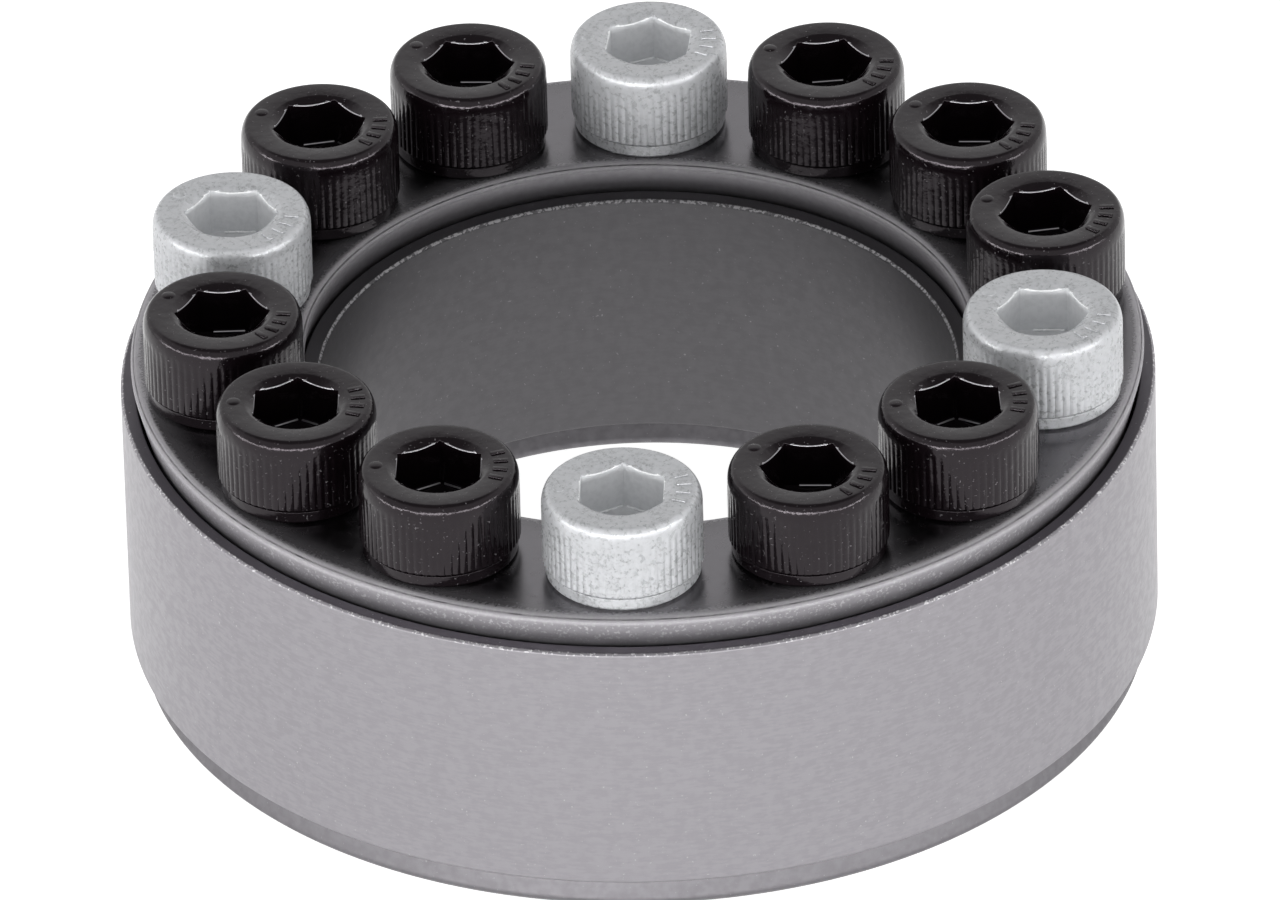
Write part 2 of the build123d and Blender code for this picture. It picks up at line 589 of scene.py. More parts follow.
def turning_lines_group() -> bpy.types.NodeTree:
    """Builds the fine lines that run round a turned or ground face.

    Returns:
        A group from a place to Lines, a value about 0.5 that changes across the lines.
        Wander gives how many bends they have for each metre along them.
    """
    effect = Effect("turning_lines", {"Wander": 60.0}, ["Lines"])
    lines_per_metre = 5000.0
    face_share = 1.7  # how much finer they are on a face than on a cylinder
    x, y, z = effect.place
    wander = effect.given["Wander"]
    across = effect.math("MULTIPLY_ADD", effect.radius, face_share, z)
    stretched = {
        0: effect.math("MULTIPLY", x, wander),
        1: effect.math("MULTIPLY", y, wander),
        2: effect.math("MULTIPLY", across, lines_per_metre),
    }
    vector = effect.add("ShaderNodeCombineXYZ", stretched).outputs[0]
    return effect.put(Lines=effect.noise(vector, 1.0, detail=3.0, roughness=0.6))


def mottle_group() -> bpy.types.NodeTree:
    """Builds the cloudy mottling and the fine specks of a metal surface.

    Returns:
        A group from a place to Clouds, a slow value about 0.5, and Specks, 1 on a speck.
        Specks are where a noise is over 1 less Speck share.
    """
    inputs = {"Clouds per metre": 300.0, "Speck share": 0.3}
    effect = Effect("mottle", inputs, ["Clouds", "Specks"])
    specks_per_metre = 5000.0
    speck_edge = (0.0, 0.06)
    vector = effect.given["Vector"]
    clouds = effect.noise(vector, effect.given["Clouds per metre"], detail=5.0)
    specks = effect.noise(vector, specks_per_metre, detail=2.0)
    lowest = effect.math("SUBTRACT", 1.0, effect.given["Speck share"])
    high = effect.math("SUBTRACT", specks, lowest)
    return effect.put(Clouds=clouds, Specks=effect.between(high, speck_edge, 0.0, 1.0))


def rim_wear_group() -> bpy.types.NodeTree:
    """Builds the bright wear along a turned edge.

    Returns:
        A group from a place to Wear, 1 on the worn metal round the edge, and Near, which
        fades out softly beyond it and weighs the painted sheen of the nicks. Radius, and Height
        above Middle, place the edge, and Reach gives how far the wear goes.
    """
    inputs = {"Middle": 0.0, "Radius": 0.03, "Height": 0.01, "Reach": 0.5 * MM}
    effect = Effect("rim_wear", inputs, ["Wear", "Near"])
    fade = 2.4 * MM  # how far the soft part goes
    notches_per_metre = 4200.0
    notch_size = 1.8  # how far they move the wear's end at most, in reaches
    wear_end, fade_span = (0.55, 1.25), (0.15, 1.0)  # in reaches and in fades from the edge
    side = effect.math("SUBTRACT", effect.radius, effect.given["Radius"])
    rise = effect.math("SUBTRACT", effect.level, effect.given["Height"])
    away = effect.length(side, rise)
    vector = effect.given["Vector"]
    notches = effect.noise(vector, notches_per_metre, detail=3.0, roughness=0.7)
    shift = effect.math("SUBTRACT", notches, 0.5)
    reaches = effect.math("DIVIDE", away, effect.given["Reach"])
    ragged = effect.math("MULTIPLY_ADD", shift, notch_size, reaches)
    return effect.put(
        Wear=effect.between(ragged, wear_end, 1.0, 0.0),
        Near=effect.between(effect.math("DIVIDE", away, fade), fade_span, 1.0, 0.0),
    )


def end_face_group() -> bpy.types.NodeTree:
    """Builds a mask of a ring's flat end faces.

    Returns:
        A group from a place to Face, 1 on the faces that lie Height above and below Middle.
    """
    effect = Effect("end_face", {"Middle": 0.0, "Height": 0.01}, ["Face"])
    face_edge = (0.01 * MM, 0.05 * MM)
    above = effect.math("ABSOLUTE", effect.level)
    short = effect.math("SUBTRACT", effect.given["Height"], above)
    return effect.put(Face=effect.between(short, face_edge, 1.0, 0.0))


@dataclass(frozen=True)
class Effects:
    """The node groups that the finishes share.

    Attributes:
        turning_lines: Fine lines round a turned face.
        mottle: Clouds and specks.
        rim_wear: Wear along a turned edge.
        end_face: A ring's flat end faces.
    """

    turning_lines: bpy.types.NodeTree
    mottle: bpy.types.NodeTree
    rim_wear: bpy.types.NodeTree
    end_face: bpy.types.NodeTree

    @classmethod
    def build(cls) -> "Effects":
        """Builds each group once."""
        return cls(turning_lines_group(), mottle_group(), rim_wear_group(), end_face_group())


class Finish(Graph):
    """A material being wired round its Principled BSDF."""

    def __init__(self, name: str, slot: str = "") -> None:
        """Starts the material.

        Args:
            name: The material's name.
            slot: The record's material slot that it finishes, if it does.
        """
        self.material = bpy.data.materials.new(name)
        self.material.use_nodes = True
        self.material["slot"] = slot
        super().__init__(self.material.node_tree)

    @cached_property
    def vector(self) -> bpy.types.NodeSocket:
        """The place in the piece's own mesh."""
        return self.add("ShaderNodeTexCoord").outputs["Object"]

    def effect(
        self, group: bpy.types.NodeTree, values: dict[str, float]
    ) -> dict[str, bpy.types.NodeSocket]:
        """Places a node group on the piece.

        Args:
            group: The node group.
            values: Its inputs besides Vector.

        Returns:
            Its outputs by their names.
        """
        node = self.add("ShaderNodeGroup", {"Vector": self.vector, **values}, node_tree=group)
        return dict(node.outputs.items())

    def dress(self, inputs: dict[str | int, object]) -> bpy.types.Material:
        """Feeds the shader and returns the finished material."""
        self.feed(self.tree.nodes["Principled BSDF"], inputs)
        return self.material


def grey(level: float, violet: float = 0.0) -> Colour:
    """Makes a grey of a linear brightness, its blue brighter by the share that violet gives."""
    return (level * (1 + 0.6 * violet), level, level * (1 + violet), 1.0)


@dataclass(frozen=True)
class RingSteel:
    """A turned or ground steel ring, softly mottled, with bright worn edges, end faces darkened as
    painted shade and bright nicks that paint a sheen along the rim.

    Attributes:
        edges: The worn edges, each a radius and a height above the middle plane.
        middle: Height of the middle plane.
        face_height: Height of the end faces above it.
        name: The material's name.
        slot: The record's slot.
        dark: Base colour in its darker clouds.
        light: Base colour in its lighter clouds.
        face: Base colour of the flat end faces, darker than the sides as painted shade.
        worn: Base colour of the worn edges and the specks.
        nicks_and_sheen: Base colour of the nicks, which near the first worn edge also paint a sheen.
        smooth: Roughness where it is smoothest.
        rough: Roughness where it is roughest.
        face_polish: Share by which the end faces are smoother.
        worn_roughness: How much rougher the worn edges are.
        clouds: Clouds for each metre.
        line_share: How much of the texture is lines round the ring.
        wander: How many bends the lines have for each metre along them.
        relief: Depth of the texture.
        speck_share: How strong the specks are.
        wear_reach: How far from its edge the wear goes.
        nick_spread: Grows with the share of the side that has nicks.
        nick_and_sheen_share: How bright they are close to the first worn edge, where they paint a
            sheen that fades away from the rim.
        chip_spread: Grows with the share of the worn edges that is bare.
        pits: Pits for each metre of the worn edges.
        pit_depth: Depth of these pits.
        dullness: How much metallic shine the steel loses close to the worn edges.
    """

    edges: tuple[tuple[float, float], ...]
    middle: float
    face_height: float
    name: str = "ground_steel"
    slot: str = "ground_steel"
    dark: Colour = grey(0.280, 0.065)
    light: Colour = grey(0.307, 0.065)
    # The end faces' darker colour is painted shade.
    face: Colour = grey(0.10, 0.12)
    worn: Colour = grey(0.70, 0.02)
    nicks_and_sheen: Colour = (0.78, 0.77, 0.79, 1.0)
    smooth: float = 0.35
    rough: float = 0.41
    face_polish: float = 0.0
    worn_roughness: float = 0.14
    clouds: float = 1500.0
    line_share: float = 1.10
    wander: float = 1000.0
    relief: float = 0.0007 * MM
    speck_share: float = 0.4
    wear_reach: float = 0.12 * MM
    nick_spread: float = 0.42
    nick_and_sheen_share: float = 0.0
    chip_spread: float = 0.44
    pits: float = 2600.0
    pit_depth: float = 0.012 * MM
    dullness: float = 0.0

    def wear(
        self, finish: Finish, effects: Effects
    ) -> tuple[bpy.types.NodeSocket, bpy.types.NodeSocket, bpy.types.NodeSocket]:
        """Adds the masks of all the worn edges.

        Args:
            finish: The material.
            effects: The shared node groups.

        Returns:
            The mask of the wear, the soft one of what lies close to it, and the soft one of
            what lies close to the first edge, which weighs the painted sheen of the nicks.
        """
        masks = []
        for radius, height in self.edges:
            place = {"Middle": self.middle, "Radius": radius, "Height": height}
            masks.append(finish.effect(effects.rim_wear, {**place, "Reach": self.wear_reach}))
        wear, near = masks[0]["Wear"], masks[0]["Near"]
        for mask in masks[1:]:
            wear = finish.math("MAXIMUM", wear, mask["Wear"])
            near = finish.math("MAXIMUM", near, mask["Near"])
        return wear, near, masks[0]["Near"]

    def build(self, effects: Effects) -> bpy.types.Material:
        """Builds the material.

        Args:
            effects: The shared node groups.

        Returns:
            The material.
        """
        finish = Finish(self.name, self.slot)
        lines = finish.effect(effects.turning_lines, {"Wander": self.wander})["Lines"]
        mottle = finish.effect(effects.mottle, {"Clouds per metre": self.clouds})
        chipping = {"Clouds per metre": self.pits, "Speck share": self.chip_spread}
        chips = finish.effect(effects.mottle, chipping)
        nicks = finish.effect(effects.mottle, {"Speck share": self.nick_spread})["Specks"]
        ends = {"Middle": self.middle, "Height": self.face_height}
        face = finish.effect(effects.end_face, ends)["Face"]
        wear, near, first = self.wear(finish, effects)
        streaks = finish.math("MULTIPLY", finish.math("SUBTRACT", lines, 0.5), self.line_share)
        texture = finish.math("ADD", mottle["Clouds"], streaks)
        base = finish.blend(finish.between(texture, CLOUD_SPAN, 0.0, 1.0), self.dark, self.light)
        # Partly real nicks, partly a painted sheen: bright specks that grow denser close to the
        # first worn edge.
        nicks_and_sheen = finish.math("MULTIPLY", finish.math("MULTIPLY", first, nicks), self.nick_and_sheen_share)
        # Painted shade: the end faces take a darker colour than the sides.
        face_shaded = finish.blend(face, finish.blend(nicks_and_sheen, base, self.nicks_and_sheen), self.face)
        specks = finish.math("MULTIPLY", mottle["Specks"], self.speck_share)
        specked = finish.blend(specks, face_shaded, self.worn)
        chipped = finish.blend(chips["Specks"], self.light, self.worn)
        rough = finish.between(texture, CLOUD_SPAN, self.rough, self.smooth)
        polish = finish.math("MULTIPLY_ADD", face, -self.face_polish, 1.0)
        polished = finish.math("MULTIPLY", rough, polish)
        pitted = finish.math("MULTIPLY", chips["Clouds"], wear)
        return finish.dress({
            "Base Color": finish.blend(wear, specked, chipped),
            "Roughness": finish.math("MULTIPLY_ADD", wear, self.worn_roughness, polished),
            "Metallic": finish.math("MULTIPLY_ADD", near, -self.dullness, 1.0),
            "Normal": finish.bump(pitted, self.pit_depth, finish.bump(texture, self.relief)),
        })


@dataclass(frozen=True)
class BlackOxide:
    """The oxidised screws: near black, half glossy, with a few pale specks.

    Attributes:
        name: The material's name.
        deep: Base colour in its darker clouds.
        pale: Base colour in its lighter clouds.
        speck: Colour of the specks.
        speck_spread: Grows with the share of the surface that has specks.
        speck_share: How strong the specks are.
        gloss: Tint of its shine.
        roughness: Its mean roughness.
        roughness_range: The roughness in the darkest and the palest clouds, in shares of that.
        refraction: Its refractive index.
        clouds: Clouds for each metre.
        dent_depth: Depth of the clouds.
        grain: Grains for each metre.
        grain_depth: Depth of the grain.
    """

    name: str = "black_oxide"
    deep: Colour = (0.0022, 0.0012, 0.0017, 1.0)
    pale: Colour = (0.0060, 0.0036, 0.0047, 1.0)
    speck: Colour = (0.25, 0.24, 0.25, 1.0)
    speck_spread: float = 0.33
    speck_share: float = 0.42
    gloss: Colour = (0.71, 0.64, 0.69, 1.0)
    roughness: float = 0.12
    roughness_range: tuple[float, float] = (0.8, 1.2)
    refraction: float = 1.50
    clouds: float = 1100.0
    dent_depth: float = 0.040 * MM
    grain: float = 4000.0
    grain_depth: float = 0.007 * MM

    def build(self, effects: Effects) -> bpy.types.Material:
        """Builds the material.

        Args:
            effects: The shared node groups.

        Returns:
            The material.
        """
        finish = Finish(self.name, "black_oxide_steel")
        mottling = {"Clouds per metre": self.clouds, "Speck share": self.speck_spread}
        mottle = finish.effect(effects.mottle, mottling)
        clouds = mottle["Clouds"]
        base = finish.blend(clouds, self.deep, self.pale)
        dust = finish.math("MULTIPLY", mottle["Specks"], self.speck_share)
        rough = finish.between(clouds, CLOUD_SPAN, *self.roughness_range)
        grain = finish.noise(finish.vector, self.grain, detail=3.0)
        return finish.dress({
            "Base Color": finish.blend(dust, base, self.speck),
            "Roughness": finish.math("MULTIPLY", rough, self.roughness),
            "Normal": finish.bump(grain, self.grain_depth, finish.bump(clouds, self.dent_depth)),
            "IOR": self.refraction,
            "Specular Tint": self.gloss,
        })


@dataclass(frozen=True)
class ZincPlate:
    """The plated screws: pale satin zinc, finely speckled in patches.

    Attributes:
        name: The material's name.
        shade: Base colour in its darker clouds.
        light: Base colour in its lighter clouds.
        light_span: The clouds between which one turns into the other.
        speck: Colour of the specks.
        speck_spread: Grows with the share of the surface that has specks.
        speck_share: How strong the specks are in the patches.
        patches: Speckled patches for each metre.
        patch_edge: Where a patch begins and where it is whole.
        patch_floor: How strong the specks are outside the patches, in shares of that.
        roughness: Its mean roughness.
        roughness_range: The roughness in the darkest and the palest clouds, in shares of that.
        metallic: Share of metal in its shine.
        clouds: Clouds for each metre.
        grain: Grains for each metre.
        grain_depth: Depth of the grain.
    """

    name: str = "zinc_plate"
    shade: Colour = (0.50, 0.51, 0.525, 1.0)
    light: Colour = (0.60, 0.61, 0.63, 1.0)
    light_span: tuple[float, float] = (0.35, 0.6)
    speck: Colour = (0.27, 0.275, 0.28, 1.0)
    speck_spread: float = 0.46
    speck_share: float = 0.45
    patches: float = 700.0
    patch_edge: tuple[float, float] = (0.42, 0.62)
    patch_floor: float = 0.15
    roughness: float = 0.30
    roughness_range: tuple[float, float] = (0.85, 1.2)
    metallic: float = 0.3
    clouds: float = 2600.0
    grain: float = 5000.0
    grain_depth: float = 0.010 * MM

    def build(self, effects: Effects) -> bpy.types.Material:
        """Builds the material.

        Args:
            effects: The shared node groups.

        Returns:
            The material.
        """
        finish = Finish(self.name, "zinc_plated_steel")
        mottling = {"Clouds per metre": self.clouds, "Speck share": self.speck_spread}
        mottle = finish.effect(effects.mottle, mottling)
        clouds = mottle["Clouds"]
        paleness = finish.between(clouds, self.light_span, 0.0, 1.0)
        base = finish.blend(paleness, self.shade, self.light)
        patches = finish.noise(finish.vector, self.patches, detail=2.0)
        patch = finish.between(patches, self.patch_edge, self.patch_floor, 1.0)
        specks = finish.math("MULTIPLY", mottle["Specks"], patch)
        share = finish.math("MULTIPLY", specks, self.speck_share)
        rough = finish.between(clouds, CLOUD_SPAN, *self.roughness_range)
        grain = finish.noise(finish.vector, self.grain, detail=3.0)
        return finish.dress({
            "Base Color": finish.blend(share, base, self.speck),
            "Roughness": finish.math("MULTIPLY", rough, self.roughness),
            "Metallic": self.metallic,
            "Normal": finish.bump(grain, self.grain_depth),
        })


@dataclass(frozen=True)
class BareChip:
    """The bare metal of an oxidised screw's worn socket mouth and of the chips at its foot.

    Attributes:
        colour: Base colour.
        roughness: Roughness.
    """

    colour: Colour = (0.42, 0.41, 0.43, 1.0)
    roughness: float = 0.30

    def build(self) -> bpy.types.Material:
        """Builds the material."""
        inputs = {"Base Color": self.colour, "Metallic": 1.0, "Roughness": self.roughness}
        return Finish("bare_chip").dress(inputs)


@dataclass(frozen=True)
class SlitRings:
    """The outer and the inner slit ring.

    Attributes:
        section: The set's section.
        chamfer: Chamfer on the seats' end edges.
        ease: Rounding of the turned edges.
        slit_width: Width of the slits.
        outer_slit_step: The outer slit's place, in steps of the screw circle.
        inner_slit_step: The inner slit's place.
    """

    section: Section
    chamfer: float = 0.15 * MM
    ease: float = 0.05 * MM
    slit_width: float = 1.5 * MM
    outer_slit_step: float = 12.5
    inner_slit_step: float = 7.5

    def ring(
        self, name: str, seat: float, end: float, crest: float, slit_step: float
    ) -> bpy.types.Object:
        """Turns a ring and slits it along the axis.

        Args:
            name: The ring's name.
            seat: Radius of its plain, chamfered side.
            end: Radius of its thin ends on the other side.
            crest: Radius of the land between that side's two tapers.
            slit_step: The slit's place, in steps of the screw circle.

        Returns:
            The ring.
        """
        section = self.section
        foot, head, middle = section.ring_foot, section.ring_head, section.middle
        land = section.crest_land / 2
        shoulder = seat + math.copysign(self.chamfer, end - seat)
        ring = turned(name, [
            Corner(end, foot, self.ease),
            Corner(shoulder, foot, self.ease),
            Corner(seat, foot + self.chamfer, self.ease),
            Corner(seat, head - self.chamfer, self.ease),
            Corner(shoulder, head, self.ease),
            Corner(end, head, self.ease),
            Corner(crest, middle + land, self.ease),
            Corner(crest, middle - land, self.ease),
        ], RING_COLUMNS, closed=True)
        direction = section.place(slit_step)
        clear_selection()
        bpy.ops.mesh.primitive_cube_add(
            size=1,
            location=direction + Vector((0, 0, middle)),
            rotation=(0, 0, math.atan2(direction.y, direction.x)),
            scale=(section.seat, self.slit_width, 2 * section.ring_length),
        )
        cut(ring, bpy.context.active_object)
        smooth(ring)
        return ring

    def outer(self) -> bpy.types.Object:
        """Builds the ring that spreads into the hub, its double taper inside."""
        seat, end, crest = self.section.seat, self.section.outer_end, self.section.outer_crest
        return self.ring("outer_ring_turned", seat, end, crest, self.outer_slit_step)

    def inner(self) -> bpy.types.Object:
        """Builds the ring that closes on the shaft, its double taper outside."""
        seat, end, crest = self.section.bore, self.section.inner_end, self.section.inner_crest
        return self.ring("inner_ring_turned", seat, end, crest, self.inner_slit_step)


@dataclass(frozen=True)
class ThrustRings:
    """The front and the rear thrust ring, with their screw holes.

    Attributes:
        section: The set's section.
        chamfer: Chamfer on the outer face's edges.
        rim_ease: Rounding of that chamfer's corners.
        nose_ease: Rounding of the nose's corners.
        clearance: Radial clearance of a screw in the front ring's holes.
        jacking_radius: Radius of the front ring's larger, threaded holes.
        tapped_radius: Radius of the rear ring's tapped holes.
        countersink: Depth of the countersink at a threaded hole's mouth.
    """

    section: Section
    chamfer: float = 0.4 * MM
    rim_ease: float = 0.18 * MM
    nose_ease: float = 0.08 * MM
    clearance: float = 0.3 * MM
    jacking_radius: float = 3.3234 * MM
    tapped_radius: float = 3.05 * MM
    countersink: float = 0.5 * MM

    def blank(self, side: Side) -> bpy.types.Object:
        """Turns a thrust ring before it is drilled.

        Args:
            side: Which of the two rings.

        Returns:
            The ring.
        """
        face = self.section.face(side)
        inner_rim, outer_rim = self.section.flank(self.chamfer)
        inner_nose, outer_nose = self.section.flank(self.section.thrust_thickness)
        rim = face - side.value * self.chamfer
        nose = face - side.value * self.section.thrust_thickness
        return turned(f"{side.name.lower()}_thrust_ring_turned", [
            Corner(inner_rim + self.chamfer, face, self.rim_ease),
            Corner(outer_rim - self.chamfer, face, self.rim_ease),
            Corner(outer_rim, rim, self.rim_ease),
            Corner(outer_nose, nose, self.nose_ease),
            Corner(inner_nose, nose, self.nose_ease),
            Corner(inner_rim, rim, self.rim_ease),
        ], RING_COLUMNS, closed=True)

    def drill(self, side: Side, radius: float, sunk: bool) -> bpy.types.Object:
        """Turns what a drill and a countersink take out of a ring.

        Args:
            side: Which ring is drilled, from its outer face.
            radius: The hole's radius.
            sunk: Whether the hole's mouth is countersunk.

        Returns:
            The tool, round the Z axis at the ring's height.
        """
        face = self.section.face(side)
        through = face - side.value * 1.5 * self.section.thrust_thickness
        outside = face + side.value * self.countersink
        corners = [Corner(0, through), Corner(radius, through)]
        if sunk:
            corners.append(Corner(radius, face - side.value * self.countersink))
            corners.append(Corner(radius + 2 * self.countersink, outside))
        else:
            corners.append(Corner(radius, outside))
        corners.append(Corner(0, outside))
        return turned("drill", corners, HOLE_COLUMNS, closed=False)

    def build(self, side: Side) -> bpy.types.Object:
        """Builds a thrust ring.

        Args:
            side: Which of the two rings.

        Returns:
            The ring.
        """
        ring = self.blank(side)
        thread = self.tapped_radius if side is Side.REAR else self.jacking_radius
        threaded = self.drill(side, thread, sunk=True)
        plain = self.drill(side, self.section.thread + self.clearance, sunk=False)
        holes = []
        for step in range(SCREW_COUNT):
            drill = threaded if side is Side.REAR or step in PLATED_STEPS else plain
            holes.append(copied(drill, "hole", self.section.place(step)))
        for drill in (threaded, plain):
            bpy.data.objects.remove(drill)
        cut(ring, joined(holes))
        smooth(ring)
        return ring


@dataclass(frozen=True)
class CapScrews:
    """The row of socket head screws, all turned, knurled and broached alike.

    Attributes:
        section: The set's section.
        foot_radius: Radius of the plain band under the knurl.
        foot_height: Height of that band.
        foot_chamfer: Chamfer at its foot.
        foot_ease: Rounding of that chamfer's corners.
        line_width: Width of the line turned in at the band's head.
        line_depth: Depth of that line.
        line_bevel: Height of the bevel by which the band runs into it.
        line_ease: Rounding of that bevel's corner.
        crest_radius: Radius over the knurl's crests.
        groove_radius: Radius in the knurl's grooves.
        teeth: How many crests go round.
        columns_per_tooth: How many faces go round a crest and its groove.
        lead_in: Width of the bevel at the knurl's foot.
        lead_in_foot: Height of that bevel's foot over the band.
        lead_in_head: Height of its head.
        lead_in_hold: Height of the row that holds the knurl straight over it.
        run_out: How far below the shoulder the grooves begin to fade.
        shoulder_drop: How far the shoulder comes down from the top.
        shoulder_rows: How many rows of faces it has.
        top_radius: Radius of the flat top.
        top_hold: How far inside that radius a row holds the top flat.
        mouth_radius: Radius of the socket's conical mouth at the top.
        mouth_slope: How far the mouth goes down for each length inwards.
        mouth_lip: How far inside that radius its edge is rounded.
        mouth_ease: How far this rounding goes.
        socket_flats: Distance between the socket's flats.
        socket_depth: Depth of the socket's flats.
        floor_depth: Depth of the socket's conical floor below them.
        corner_bevel: Bevel where the mouth meets the socket's flats.
        rubbed_and_highlit_share: How far out towards the corners this bevel is worn bare on the
            oxidised screws and painted as a highlight on the plated ones.
        rubbed_and_highlit_reach: How far to each side of its middle, in shares of its width.
        chip_radius: Radius of the chips at the foot of the flats.
        chip_length: Length of a chip, in shares of its flat's width.
        chip_slip: How far a chip slips along its flat at most, in shares of that width.
        chip_lean: How far it leans at most, in radians.
        mark_radius: Radius of the circle of raised marks on the flat top.
        mark_height: How far they stand up.
        ticks: How many ticks there are.
        tick_length: Length of a tick, along the radius.
        tick_width: Width of a tick.
        tick_angle: Degrees between the ticks.
        pip_radius: Radius of the pip.
        tip_chamfer: Chamfer at the thread's tip.
        socket_turns: Degrees each socket has come round, clockwise from a corner at the back.
    """

    section: Section
    foot_radius: float = 4.82 * MM
    foot_height: float = 1.0 * MM
    foot_chamfer: float = 0.2 * MM
    foot_ease: float = 0.05 * MM
    line_width: float = 0.07 * MM
    line_depth: float = 0.12 * MM
    line_bevel: float = 0.05 * MM
    line_ease: float = 0.03 * MM
    crest_radius: float = 4.99 * MM
    groove_radius: float = 4.93 * MM
    teeth: int = 64
    columns_per_tooth: int = 4
    lead_in: float = 0.08 * MM
    lead_in_foot: float = 0.02 * MM
    lead_in_head: float = 0.12 * MM
    lead_in_hold: float = 0.3 * MM
    run_out: float = 0.45 * MM
    shoulder_drop: float = 1.05 * MM
    shoulder_rows: int = 9
    top_radius: float = 4.50 * MM
    top_hold: float = 0.12 * MM
    mouth_radius: float = 3.15 * MM
    mouth_slope: float = 0.58
    mouth_lip: float = 0.06 * MM
    mouth_ease: float = 0.16 * MM
    socket_flats: float = 5.16 * MM
    socket_depth: float = 3.2 * MM
    floor_depth: float = 1.44 * MM
    corner_bevel: float = 0.18 * MM
    rubbed_and_highlit_share: float = 0.955
    rubbed_and_highlit_reach: float = 0.42
    chip_radius: float = 0.07 * MM
    chip_length: float = 0.66
    chip_slip: float = 0.12
    chip_lean: float = 0.05
    mark_radius: float = 3.86 * MM
    mark_height: float = 0.09 * MM
    ticks: int = 4
    tick_length: float = 0.92 * MM
    tick_width: float = 0.36 * MM
    tick_angle: float = 14.0
    pip_radius: float = 0.44 * MM
    tip_chamfer: float = 0.8 * MM
    socket_turns: tuple[int, ...] = (5, 22, 30, 18, 30, -5, 30, 0, 0, 0, 27, 30, 17, 30)

    @property
    def top(self) -> float:
        """Height of the flat top over the head's foot."""
        return self.section.head_height

    @property
    def socket_corner(self) -> float:
        """Distance of the socket's corners from its axis, which is also a flat's width."""
        return self.socket_flats / 2 / math.cos(math.pi / 6)

    def shoulder(self) -> list[Corner]:
        """Draws the curve from the knurl's crests up to the flat top.

        Returns:
            Points of a quarter ellipse, from its foot to its top.
        """
        points = []
        for row in range(self.shoulder_rows + 1):
            angle = row / self.shoulder_rows * math.pi / 2
            out = (self.crest_radius - self.top_radius) * math.cos(angle)
            up = self.shoulder_drop * (math.sin(angle) - 1)
            points.append(Corner(self.top_radius + out, self.top + up))
        return points

    def head(self) -> bpy.types.Object:
        """Turns a head, knurls it, broaches its socket and raises its marks.

        Returns:
            The head, round the Z axis, standing on height 0.
        """
        foot = self.foot_height
        line_foot = foot - self.line_width
        corners = [
            Corner(0, 0),
            Corner(self.section.thread, 0),
            Corner(self.foot_radius - self.foot_chamfer, 0, self.foot_ease),
            Corner(self.foot_radius, self.foot_chamfer, self.foot_ease),
            Corner(self.foot_radius, line_foot - self.line_bevel, self.line_ease),
            Corner(self.foot_radius - self.line_depth, line_foot),
            Corner(self.foot_radius - self.line_depth, foot),
            Corner(self.crest_radius - self.lead_in, foot + self.lead_in_foot),
            Corner(self.crest_radius, foot + self.lead_in_head),
            Corner(self.crest_radius, foot + self.lead_in_hold),
            Corner(self.crest_radius, self.top - self.shoulder_drop - self.run_out),
            *self.shoulder(),
            Corner(self.top_radius - self.top_hold, self.top),
            Corner(0, self.top),
        ]
        head = turned("head", corners, self.teeth * self.columns_per_tooth, closed=False)
        with editing(head):
            select_where(head, self.in_groove)
            share = self.groove_radius / self.crest_radius
            bpy.ops.transform.resize(value=(share, share, 1), center_override=(0, 0, 0))
        self.broach(head)
        return joined([head, *self.marks()])

    def in_groove(self, place: Vector) -> bool:
        """Says whether a vertex of a turned head is pressed in by the knurl.

        Args:
            place: The vertex's place.

        Returns:
            Whether it is: on the knurled side, in the middle of a groove.
        """
        foot = self.foot_height + TOUCH
        head = self.top - self.shoulder_drop - self.run_out / 2
        tooth = math.tau / self.teeth
        turn = math.atan2(place.y, place.x) % tooth
        return foot < place.z < head and min(turn, tooth - turn) < tooth / self.columns_per_tooth / 2

    def broach(self, head: bpy.types.Object) -> None:
        """Cuts the hex socket, with its conical mouth and drilled floor.

        Args:
            head: The head.
        """
        top, flat_radius, flats_foot = self.top, self.socket_flats / 2, self.top - self.socket_depth
        margin = 0.5 * MM
        cone_width = self.mouth_radius / 2
        cone_foot = top - cone_width * self.mouth_slope
        over = top + 2 * self.mouth_lip
        lip_height = top - self.mouth_lip * self.mouth_slope
        mouth = turned("mouth", [
            Corner(0, cone_foot),
            Corner(self.mouth_radius - cone_width, cone_foot),
            Corner(self.mouth_radius - self.mouth_lip, lip_height, self.mouth_ease),
            Corner(self.mouth_radius + margin, over),
            Corner(0, over),
        ], SOCKET_COLUMNS, closed=False)
        floor = turned("floor", [
            Corner(0, flats_foot - self.floor_depth),
            Corner(flat_radius, flats_foot),
            Corner(flat_radius, cone_foot),
            Corner(0, cone_foot),
        ], SOCKET_COLUMNS, closed=False)
        clear_selection()
        depth = self.socket_depth + margin
        place = (0, 0, flats_foot + depth / 2)
        bpy.ops.mesh.primitive_cylinder_add(
            vertices=6, radius=self.socket_corner, depth=depth, location=place
        )
        cut(head, bpy.context.active_object, mouth, floor)
        with editing(head):
            select_where(head, lambda place: self.on_mouth_edge(place, TOUCH))
            bpy.ops.mesh.bevel(offset=self.corner_bevel, segments=3, clamp_overlap=True)

    def on_mouth_edge(self, place: Vector, reach: float) -> bool:
        """Says whether a place is on the edges where the mouth meets the socket's flats.

        Args:
            place: The place.
            reach: How far from the mouth and from the flats it may be.

        Returns:
            Whether it is that close to both.
        """
        fall = (self.mouth_radius - place.xy.length) * self.mouth_slope
        turns = (math.radians(60 * flat) for flat in range(6))
        out = max(place.x * math.cos(turn) + place.y * math.sin(turn) for turn in turns)
        on_flat = abs(out - self.socket_flats / 2) < reach
        return on_flat and abs(fall - (self.top - place.z)) < reach

